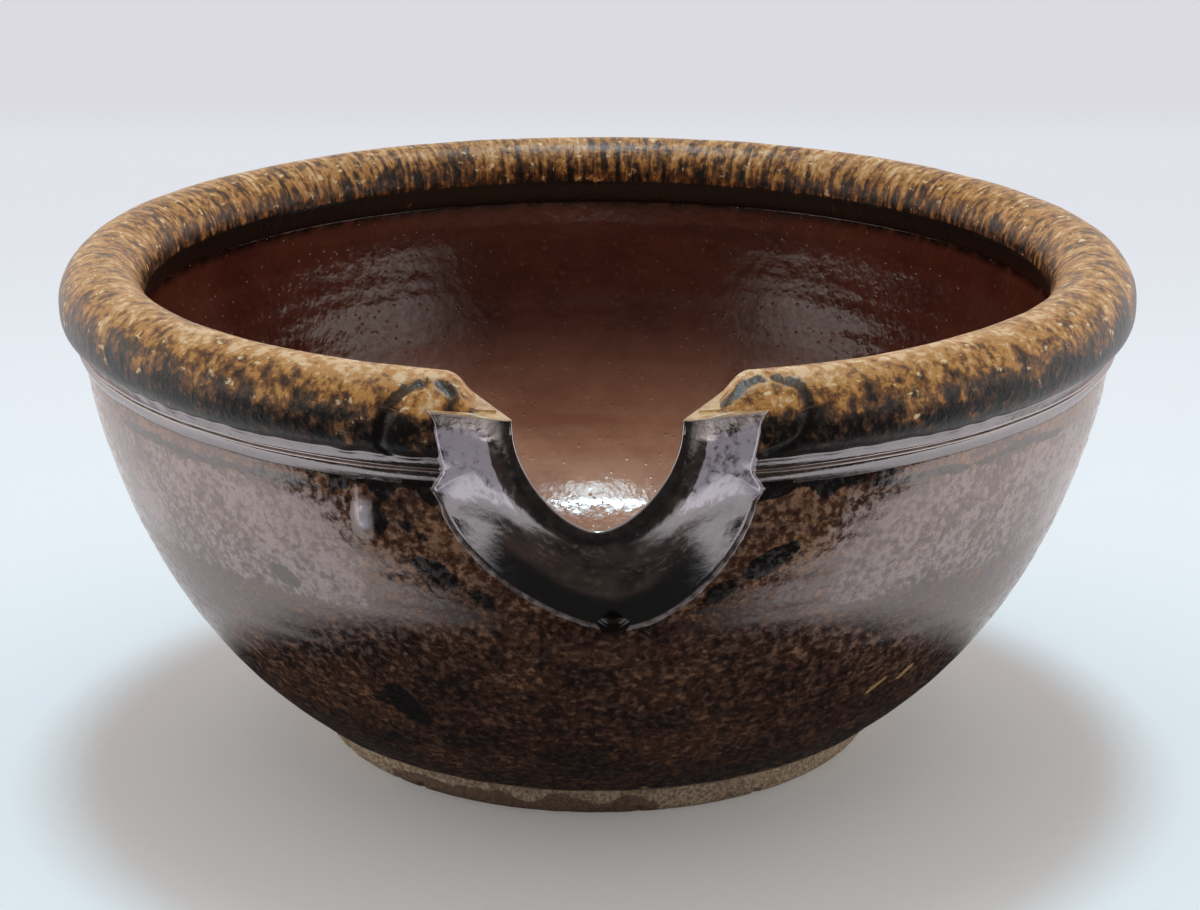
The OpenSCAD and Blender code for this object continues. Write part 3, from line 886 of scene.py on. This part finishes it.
def about_roll(r, z, scale):
    """Radius and height of points of the rim, scaled about the roll's centre."""
    return ROLL_AT[0] + (r - ROLL_AT[0]) * scale, ROLL_AT[1] + (z - ROLL_AT[1]) * scale


def beside_spout(turn, phi, at, size):
    """A soft spot on the roll at both sides of the spout: at two angles, with two half widths."""
    across, along = (np.abs(turn) - at[0]) * RIM_R / size[0], (phi - at[1]) * ROLL_R / size[1]
    return bell(np.hypot(across, along), 1.0)


def make_rim(finish, fold_finish):
    """The roll, cove and fold: the rim's line swept round the axis from one cut end to the other.

    Each point of the line stops at its own angle, on the sloping cut, and the ends are rounded
    over. A crease is pressed into the roll round each ear. A few points inside the clay close it.
    """
    steps, crowding, rounding, n_bevel, n_cap = 760, 0.105, 0.7, 6, 8
    lump_depth, bump_depth, press_depth, ragged_depth, fold_line = 0.14, 0.06, 0.45, 0.2, 3.4
    seat = np.array([[WALL_R - 1.2, FOLD_Z + 0.1], [WALL_R - 2.6, FOLD_Z + 1.2],
                     [LINER_R + 1.6, LINER_Z - 0.6]])
    loop = np.concatenate([RIM_LINE, seat])
    n, length = len(loop), lengths(loop)
    share = shares(steps)
    share = share - crowding * np.sin(TURN * share)
    step = np.concatenate([np.zeros(n_bevel - 1), share, np.ones(n_bevel - 1)])[:, None]
    bevel, gap = np.linspace(0.0, pi / 2.0, n_bevel), rounding / RIM_R

    def both_ends(values):
        return np.concatenate([values[::-1], np.zeros(steps - 2), values])[:, None]

    shrink = 1.0 - both_ends(rounding * (1.0 - np.cos(bevel))) / ROLL_R
    r, z = about_roll(loop[:, 0], loop[:, 1], shrink)
    start = cut_angle(r, z)
    reach = both_ends(gap - rounding * (1.0 - np.sin(bevel)) / RIM_R)
    reach[:n_bevel] *= -1.0
    angle = mix(start + gap, TURN - start - gap, step) + reach
    turn = np.where(angle > pi, angle - TURN, angle)
    phi = np.arctan2(z - ROLL_AT[1], r - ROLL_AT[0])
    on_roll, firm = ease(-1.9, -1.2, phi), ease(0.0, 0.25, shrink - 0.86)
    press_w = 0.55 + 0.15 * unevenness(43, 4.0 * angle, (5, 20), 6.0 * phi, 12.0)
    press = bell(crease_distance(turn, phi), press_w)
    lump = lump_depth * unevenness(41, angle, (2, 9), 9.0 * phi, 40.0)
    lump = lump + bump_depth * unevenness(42, angle, (14, 40), 9.0 * phi, 14.0)
    swell = (lump - press_depth * press * on_roll) * firm
    swell = np.where(np.arange(n)[None, :] < len(RIM_LINE), swell, 0.0)
    hub = np.hypot(r - ROLL_AT[0], z - ROLL_AT[1])
    scale = 1.0 + np.clip(swell, -0.44, 0.3) * on_roll / np.where(hub < 1e-6, 1.0, hub)
    r, z = about_roll(r, z, scale)
    ragged = bell(z - FOLD_Z - fold_line, 0.5) * (r > ROLL_AT[0]) * firm
    z = z + ragged_depth * ragged * unevenness(44, angle, (25, 110))

    cap_r, cap_z = about_roll(loop[:, 0], loop[:, 1], np.linspace(0.82, 0.12, n_cap)[:, None])
    cap = cut_angle(cap_r, cap_z)
    grid = np.concatenate([around(cap, cap_r, cap_z)[::-1], around(angle, r, z),
                           around(TURN - cap, cap_r, cap_z)])
    middle = cut_angle(ROLL_AT[:1], ROLL_AT[1:])[0]
    tips = around(np.array([middle, TURN - middle]), ROLL_AT[0], ROLL_AT[1])
    shape = capped(grid, tips)

    x, y, z = shape[0].T
    r, turn = np.hypot(x, y), np.arctan2(x, -y)
    phi = np.arctan2(z - ROLL_AT[1], r - ROLL_AT[0])
    off = np.abs(turn)
    thin = 0.57 - 0.53 * ease(1.05, -0.3, phi)
    thin = thin - 0.34 * ease(2.2, 3.2, np.where(phi < -1.9, phi + TURN, phi))
    # A cream band along the crest at the front: partly thin glaze, partly painted sheen.
    thin = thin + 0.2 * bell(phi - 1.5, 0.35) * ease(1.4, 0.6, off)
    thin = thin - 0.25 * ease(-0.35, -0.75, phi) * (r > ROLL_AT[0])
    thin = thin + 0.4 * beside_spout(turn, phi, (radians(16.0), 0.5), (2.8, 1.3))
    pool_and_shade = bell(crease_distance(turn, phi), 0.9) * ease(-1.9, -1.2, phi)
    pool_and_shade = np.maximum(pool_and_shade, 0.9 * beside_spout(turn, phi, (radians(19.5), -0.45), (2.0, 1.8)))
    from_crest = np.tile(length - length[np.argmax(loop[:, 1])], len(grid))
    run = around(turn, RIM_R, np.concatenate([from_crest, [0.0, 0.0]]))
    marks = {"run": run, "thin": thin, "pool_and_shade": pool_and_shade, "drawn": ease(1.3, 2.3, off)}
    fold = (loop[:, 1] < FOLD_Z + 3.35) & (loop[:, 0] > LINER_R + 2.0)
    make_piece("rolled_rim", shape, finish, ["rim_glaze", "rim_roll"], marks,
               [(fold_finish, np.tile(fold, len(grid) - 1))])


def make_spout(finish, top_finish, channel_finish):
    """The spout: for each station round its U, a closed line out over the skin and back in.

    The skin is the spout's outside raised to the wall and the rim with a filled corner, then come
    a rounded lip face and the channel, which rounds over into the liner. The two end stations are
    closed by the flat-cut tops.
    """
    n_skin, n_edge, n_face, n_in, n_turn = 54, 9, 6, 40, 5
    edge_out, edge_in, edge_back, turn_r, tuck = 0.6, 0.4, 0.6, 1.6, 0.15
    side, angle, past_seam, x, q, z = spout_sheet(16, 88, n_skin)
    skin = at_reach(x, q, z)

    ox, oq, oz = spout_skin(side, angle, np.ones_like(side))
    corner = at_reach(ox, oq, oz)
    lip_q = oq
    for _ in range(6):
        ix, iz = channel_skin(side, angle, lip_q)
        lip_q = LIP_Q - LIP_LEAN * (iz - LIP_LOW_Z)
    inner = at_reach(ix, lip_q, iz)
    across = unit(inner - corner)
    face_out, face_in = (corner + across * edge_out)[:, None], (inner - across * edge_in)[:, None]
    corner, inner = corner[:, None], inner[:, None]

    cq = mix(lip_q[:, None] - edge_back, MOUTH_Q, shares(n_in)[None, :])
    cx, cz = channel_skin(side[:, None], angle[:, None], cq)
    channel = at_reach(cx, cq, cz)

    t = shares(n_edge)[None, :, None]
    bend_out = arc(skin[:, -1:], corner, face_out, t)
    bend_in = arc(face_in, inner, channel[:, :1], t)
    face = mix(face_out, face_in, shares(n_face)[None, :, None])
    drop = np.linspace(0.25, 1.0, n_turn)[None, :]
    tx = cx[:, -1:] + turn_r * drop ** 2 * np.cos(angle)[:, None]
    tz = cz[:, -1:] - turn_r * drop ** 2 * np.sin(angle)[:, None]
    liner = inside_line(COAT, 600)
    liner_q = np.sqrt(np.maximum(np.interp(tz, liner[:, 1], liner[:, 0]) ** 2 - tx ** 2, 0.0))
    tq = mix(cq[:, -1:], liner_q, np.sqrt(drop)) + tuck * drop ** 4
    turn_in = at_reach(tx, tq, tz)
    closing = mix(turn_in[:, -1:], skin[:, :1], 0.5)
    loop = np.concatenate([skin, bend_out[:, 1:], face[:, 1:], bend_in[:, 1:], channel[:, 1:],
                           turn_in, closing], axis=1)
    rows, n = loop.shape[:2]
    quads = grid_quads(rows, n)
    j = np.arange(n // 2 - 1)
    left = np.stack([j, n - 1 - j, n - 2 - j, j + 1], axis=-1)
    right = (rows - 1) * n + np.stack([j, j + 1, n - 2 - j, n - 1 - j], axis=-1)
    faces = np.concatenate([quads, left, right])

    lip_end = n_skin + 2 * (n_edge - 1) + n_face - 1
    marks = {mark: np.zeros((rows, n)) for mark in ("lip", "pool_and_shade", "painted_reflection", "low")}
    from_edge = np.linalg.norm(loop - inner, axis=-1)
    marks["lip"][:, n_skin - 1:lip_end] = ease(1.9, 1.4, from_edge[:, n_skin - 1:lip_end])
    keel = ease(0.45, 0.85, np.sin(angle)[:, None])
    # The flanks carry a painted milky reflection between two heights.
    flank = ease(46.0, 49.0, z) * ease(59.0, 54.6, z)
    marks["pool_and_shade"][:, :n_skin] = keel * ease(0.62, 0.1, past_seam)
    marks["painted_reflection"][:, :n_skin] = flank * ease(0.95, 0.7, past_seam)
    # The channel's inside gets part of the liner's painted light.
    marks["low"][:, lip_end:] = 0.6
    number = np.arange(len(faces))
    cut = number >= len(quads)
    inside = ~cut & (number % n >= lip_end)
    make_piece("trough_spout", (loop, faces, ()), finish,
               ["spout_trough", "spout_glaze", "channel_glaze"],
               {mark: values.ravel() for mark, values in marks.items()},
               [(top_finish, cut), (channel_finish, inside)])


def make_seam(finish):
    """The seam of slip: a low rounded ridge carried along the line where the spout meets the wall.

    It runs from below the fold on one side round the keel to the other, and thins at both ends.
    """
    n_path, n_ring, half_w, half_h, lift, stop = 220, 14, 0.36, 0.30, 0.06, 0.6
    x, q, z = spout_sheet(16, 176, 90)[3:]
    rise = q - front_reach(x, z)
    place = at_reach(x, q, z)
    row, last = np.arange(len(x)), rise.shape[1]
    after = np.clip(last - np.argmax(rise[:, ::-1] < 0.0, axis=1), 1, last - 1)
    share = (rise[row, after] / (rise[row, after] - rise[row, after - 1]))[:, None]
    edge = mix(place[row, after], place[row, after - 1], share)
    path = smoothed(even_steps(edge[edge[:, 2] < FOLD_Z - stop], n_path), 12)
    run = unit(np.gradient(path, axis=0))
    out = unit(path * np.array([1.0, 1.0, 0.0]) + np.array([0.0, 0.0, -14.0]))
    across = unit(np.cross(run, out))[:, None]
    out = out[:, None]
    a = np.linspace(0.0, TURN, n_ring, endpoint=False)[None, :, None]
    along = shares(n_path)
    thick = 1.0 + 0.16 * unevenness(51, along * TURN, (6, 30))
    taper = ease(0.0, 0.06, along) * ease(1.0, 0.94, along)
    size = (thick * (0.35 + 0.65 * taper))[:, None, None]
    ring = half_w * np.cos(a) * across + half_h * np.sin(a) * out
    ring = path[:, None] + size * ring + lift * out
    make_piece("seam_ridge", capped(ring, ring[[0, -1]].mean(axis=1)), finish,
               ["luting_strip"], {})


def make_bead(finish):
    """The bead of glaze at the keel's foot: a low round pillow on the wall, with its back inside.

    Its height falls from the middle to the edge as the 1.5th power of one less the squared share of
    the way out, and it is wider above than below.
    """
    half_w, half_h, height, sunk, back_depth = 2.3, 2.0, 1.8, 0.2, 0.8
    at_x, at_z = KEEL_SKEW, BEAD_TOP - 0.2
    a = np.linspace(0.0, TURN, 48, endpoint=False)[None, :]
    share = shares(15)[:, None]
    x = at_x + half_w * share * np.cos(a) * (1.0 + 0.25 * np.sin(a))
    z = at_z + half_h * share * np.sin(a)
    base = front_reach(x, z) - sunk
    front = at_reach(x, base + height * (1.0 - share ** 2) ** 1.5, z)
    back = at_reach(x, base - back_depth, z)
    tips = np.stack([front[0, 0], back[0, 0]])
    make_piece("glaze_drop", capped(np.concatenate([front[1:], back[:0:-1]]), tips), finish,
               ["glaze_bead"], {})


def make_foot(finish):
    """The foot: a closed profile turned round the axis, with turning marks and small chips.

    From the axis it runs out under the recess, down and round the ring, and up to the glaze; a
    flat back inside the clay closes it.
    """
    hub_r, back_z, mark_depth, mark_gap = 2.0, FOOT_H + 0.9, 0.05, 1.9
    rough_depth, chip_depth, chip_rise = 0.05, 0.45, 0.22
    inner = FOOT_R - 0.6 - FOOT_W
    line = np.array([[hub_r, RECESS_Z - 0.16], [inner - 1.4, RECESS_Z - 0.10],
                     [inner - 0.4, RECESS_Z - 0.5], [inner + 0.05, 0.75], [inner + 0.7, 0.0],
                     [FOOT_R - 1.25, 0.0], [FOOT_R - 0.5, 0.55], [FOOT_R - 0.1, 2.2],
                     [FOOT_R + 0.1, FOOT_H], [FOOT_R + 0.25, FOOT_H + 0.45]])
    line = smoothed(even_steps(line, 110), 6)
    line[:, 1] = np.maximum(line[:, 1], 0.0)
    line = np.concatenate([line, [[FOOT_R - 1.5, back_z], [hub_r, back_z]]])
    angle = np.linspace(-pi, pi, 480, endpoint=False)[None, :]
    r, z = line[:, 0:1] + 0.0 * angle, line[:, 1:2] + 0.0 * angle
    under = ease(inner, inner - 1.0, r) * ease(hub_r, 4.0, r)
    ring = ease(FOOT_R - 2.0, FOOT_R - 0.6, r) * ease(back_z, FOOT_H, z)
    edge = bell(r - FOOT_R + 0.7, 0.8) * bell(z - 0.5, 0.6)
    z = z + under * mark_depth * (np.sin(TURN * r / mark_gap + 1.2 * np.sin(angle)) - 1.0)
    chip = edge * ease(0.55, 1.0, unevenness(61, angle, (24, 70), 4.0 * z, 30.0))
    rough = rough_depth * unevenness(62, angle, (20, 90), 6.0 * z, 12.0)
    r = r + ring * rough - chip_depth * chip
    z = np.maximum(z + chip_rise * chip, 0.0)
    tips = np.array([[0.0, 0.0, line[0, 1]], [0.0, 0.0, line[-1, 1]]])
    low = ease(3.2, 1.2, z + 0.7 * unevenness(63, angle, (8, 40)))
    stain = low * ease(0.75, 0.3, np.abs(angle + 0.28)) * ring
    make_piece("foot_ring_bare", capped(around(angle, r, z), tips), finish,
               ["foot_ring"], {"stain": first_rows(stain, stain.shape, [0.0, 0.0])})


make_wall(wall_finish())
red_liner = liner_finish()
make_liner(red_liner)
black_glaze, ear = spout_finish(), ear_finish()
make_rim(rim_finish(), black_glaze)
make_spout(black_glaze, ear, red_liner)
# The seam's pale lilac-grey is a painted highlight along the ridge.
make_seam(plain_finish("seam_slip_painted_highlight", 1.2, 0.5, 0.35, 0.65, tint(84, 72, 68),
                       tint(150, 136, 132), 0.04, 0.12, GLAZE_IOR, GLAZE_SHINE))
make_bead(plain_finish("pooled_black_glaze", 2.0, 0.5, 0.4, 0.7, tint(8, 6, 6), tint(18, 13, 11),
                       0.02, 0.1))
make_foot(foot_finish())
clay = plain_finish("fired_clay", 0.6, 0.6, 0.35, 0.65, tint(98, 78, 60), tint(138, 114, 90),
                    0.06, 0.75)

for name, finish in (("bowl_body", clay), ("spout_ear_left", ear), ("spout_ear_right", ear)):
    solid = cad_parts[name]
    solid.data.materials.clear()
    solid.data.materials.append(finish)


# Table, lights and camera, in metres

# What the glaze's reflections see of the table is painted: a white glow, a painted dark area in
# front of the spout, and a painted shadow oval round the bowl. What the camera sees of it has a
# small painted glow, PAPER_GLOW, that lifts the table and its shadow.
TABLE_HALF = 3.0
PAINTED_DARK_EDGE, GLOSS_GLOW_WHITE, PAPER_GLOW = -0.0725, (0.96, 0.97, 1.0, 1.0), 0.13
SHADOW_AT, SHADOW_R, SHADOW_SQUEEZE = (0.0, -0.0155, 0.0), 0.060, 0.92


def make_table():
    """A level pale paper table, a little greyer far behind the bowl.

    Glossy rays see a painted glow instead: white at strength 1, with a painted shadow of the bowl,
    an oval that pales outwards, and a painted dark area in front of the spout. The camera sees a
    small painted glow on it as well.
    """
    f = Finish("pale_paper", 0.75)
    depth = f.along("Y")
    tone = f.blend(f.span(depth, 0.0, 0.3), tint(234, 240, 246), tint(220, 217, 223))
    tone = f.blend(f.span(depth, 0.33, 0.40), tone, tint(212, 206, 212))
    fibre = f.span(f.noise(1.4, 3.0, 0.6), 0.3, 0.7, 0.0, 0.1)
    f.colour(f.blend(fibre, tone, tint(222, 225, 228)))
    f.shader.inputs["Specular IOR Level"].default_value = 0.0
    oval = f.stretch(f.where, (1.0, SHADOW_SQUEEZE, 1.0))
    away = f.node("VectorMath", {0: oval, 1: SHADOW_AT}, operation="DISTANCE").outputs["Value"]
    # A painted shadow oval and a painted dark area in front of the spout, seen only in reflections.
    painted_lit_share = f.sum(f.span(away, SHADOW_R - 0.008, SHADOW_R + 0.004, 0.02, 0.7),
                f.span(away, SHADOW_R, SHADOW_R + 0.06, 0.0, 0.3))
    strength = f.times(f.span(depth, PAINTED_DARK_EDGE - 0.003, PAINTED_DARK_EDGE + 0.003, 0.02, 1.0), painted_lit_share)
    painted_glow = f.node("Emission", {"Color": GLOSS_GLOW_WHITE, "Strength": strength}).outputs[0]
    rays = f.node("LightPath").outputs
    f.shader.inputs["Emission Color"].default_value = (1.0, 0.97, 0.94, 1.0)
    # A small painted glow for the camera, lifting the table and its shadow.
    lift = f.times(rays["Is Camera Ray"], PAPER_GLOW)
    f.tree.links.new(lift, f.shader.inputs["Emission Strength"])
    either = f.node("MixShader", {0: rays["Is Glossy Ray"], 1: f.shader.outputs[0], 2: painted_glow})
    f.tree.links.new(either.outputs[0], f.tree.nodes["Material Output"].inputs["Surface"])
    f.material.cycles.emission_sampling = "NONE"
    a = TABLE_HALF
    mesh = bpy.data.meshes.new("table")
    mesh.from_pydata([(-a, -a, 0.0), (a, -a, 0.0), (a, a, 0.0), (-a, a, 0.0)], [], [(0, 1, 2, 3)])
    mesh.materials.append(f.material)
    sheet = bpy.data.objects.new("table", mesh)
    bpy.context.scene.collection.objects.link(sheet)


LAMP_AIM = (0.0, 0.0, 0.03)


def add_lamp(name, at, size, watts, colour):
    """An oval soft lamp at a point, aimed at the bowl, with its two widths."""
    lamp = bpy.data.lights.new(name, "AREA")
    lamp.shape = "ELLIPSE"
    lamp.size, lamp.size_y = size
    lamp.energy = watts
    lamp.color = colour
    made = bpy.data.objects.new(name, lamp)
    made.location = at
    way = np.array(LAMP_AIM) - np.array(at)
    tilt = np.arctan2(np.hypot(way[0], way[1]), -way[2])
    turn = np.arctan2(way[1], way[0]) - pi / 2.0
    made.rotation_euler = (float(tilt), 0.0, float(turn))
    made.visible_camera = False
    bpy.context.scene.collection.objects.link(made)


def set_world():
    """Soft warm room light: even overhead, brightest low at both sides, and dim low in front."""
    world = bpy.data.worlds.new("room")
    bpy.context.scene.world = world
    world.use_nodes = True
    w = Nodes(world.node_tree, "Generated")
    sides = w.span(w.math("ABSOLUTE", w.along("X")), 0.5, 0.9)
    glow = w.blend(sides, (1.1, 1.01, 0.96, 1.0), (1.5, 1.4, 1.33, 1.0))
    low = w.blend(w.span(w.along("Y"), -0.82, -0.5), (0.03, 0.027, 0.025, 1.0), glow)
    even = (0.64, 0.57, 0.52, 1.0)
    high = w.blend(w.span(w.along("Y"), -0.75, -0.2), (0.15, 0.13, 0.12, 1.0), even)
    room = w.blend(w.span(w.along("Z"), 0.25, 0.5), low, high)
    w.tree.links.new(room, w.tree.nodes["Background"].inputs["Color"])


make_table()
set_world()
add_lamp("overhead", (0.0, 1.04, 3.84), (0.84, 0.36), 57.0, (0.56, 0.85, 1.0))
add_lamp("ceiling", (0.0, 0.35, 3.93), (0.6, 0.7), 11.0, (0.72, 0.92, 1.0))

CAMERA_AT, CAMERA_TILT = (0.0, -0.3504, 0.1455), radians(72.18)
camera = bpy.data.cameras.new("camera")
camera.sensor_width = 36.0
camera.lens = 90.0
camera.shift_x = 0.00208
camera.clip_start = 0.01
view = bpy.data.objects.new("camera", camera)
view.location = CAMERA_AT
view.rotation_euler = (CAMERA_TILT, 0.0, 0.0)
bpy.context.scene.collection.objects.link(view)
bpy.context.scene.camera = view
bpy.context.scene.view_settings.view_transform = "Standard"
